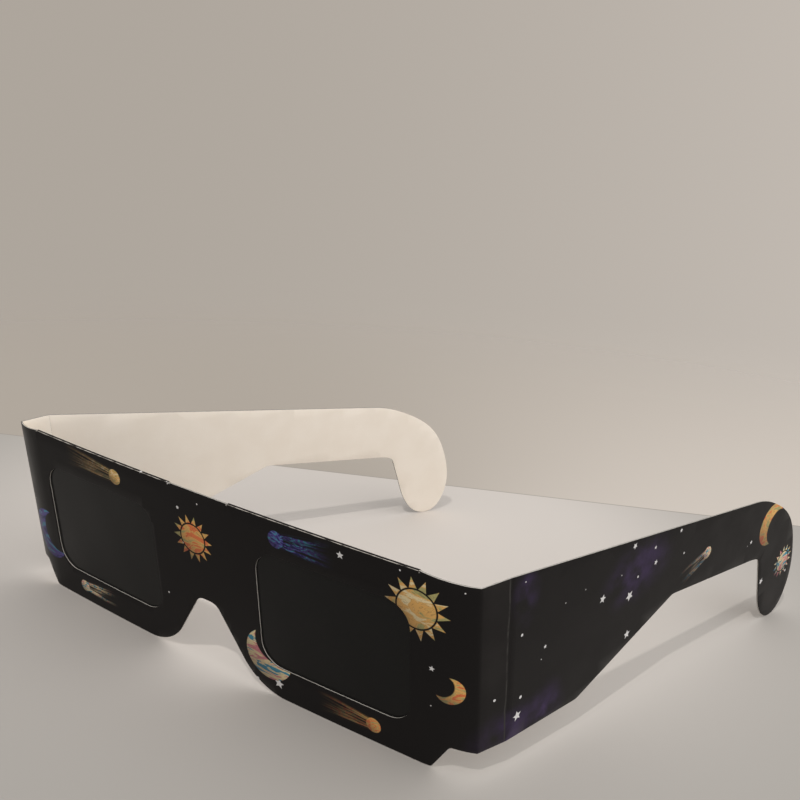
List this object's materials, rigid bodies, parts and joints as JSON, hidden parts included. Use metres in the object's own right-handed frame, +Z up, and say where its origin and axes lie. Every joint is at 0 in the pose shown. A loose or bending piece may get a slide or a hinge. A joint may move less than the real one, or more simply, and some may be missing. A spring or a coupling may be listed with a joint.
{
  "type": "eclipse glasses",
  "caption": "Card viewing glasses: a bowed front folded over dark film in rounded windows, a nose notch, and double-creased side arms that end in ear hooks.",
  "frame": {"origin": "centre of the base of the bounding box, on the surface it stands on", "axes": "+Z up, the front's outer face looks towards -Y and the arms reach back along +Y, +X to the right seen from ahead"},
  "size_m": [0.166, 0.14, 0.0453],
  "materials": {
    "printed_card": "satin black print on the side that shows outside, bare off-white card on the other",
    "lens_film": "glossy black film",
    "glue": "thin dried glue"
  },
  "bodies": {
    "front": {"front_panel": "printed_card", "rear_flap": "printed_card", "left_top_fold": "printed_card", "right_top_fold": "printed_card", "left_lens_film": "lens_film", "right_lens_film": "lens_film", "bridge_glue": "glue", "left_end_glue": "glue", "right_end_glue": "glue"},
    "left_strip": {"left_hinge_strip": "printed_card"},
    "right_strip": {"right_hinge_strip": "printed_card"},
    "left_arm_body": {"left_arm": "printed_card"},
    "right_arm_body": {"right_arm": "printed_card"}
  },
  "joints": [
    {"name": "left_corner_fold", "type": "hinge", "parent": "front", "child": "left_strip", "pos_m": [-0.08267, -0.06125, 0.02503], "axis": [0, 0.1777, -0.9841], "range_deg": [-78, 62.5]},
    {"name": "left_second_fold", "type": "hinge", "parent": "left_strip", "child": "left_arm_body", "pos_m": [-0.08029, -0.05519, 0.02612], "axis": [0, 0.1777, -0.9841], "range_deg": [-3.3, 2.7]},
    {"name": "right_corner_fold", "type": "hinge", "parent": "front", "child": "right_strip", "pos_m": [0.05161, -0.06125, 0.02503], "axis": [0, -0.1777, 0.9841], "range_deg": [-31.2, 55]},
    {"name": "right_second_fold", "type": "hinge", "parent": "right_strip", "child": "right_arm_body", "pos_m": [0.0545, -0.05541, 0.02608], "axis": [0, -0.1777, 0.9841], "range_deg": [-12.8, 22.5]}
  ],
  "couplings": [
    {"joint": "left_second_fold", "follows": "left_corner_fold", "ratio": 0.041667},
    {"joint": "right_second_fold", "follows": "right_corner_fold", "ratio": 0.40845}
  ]
}
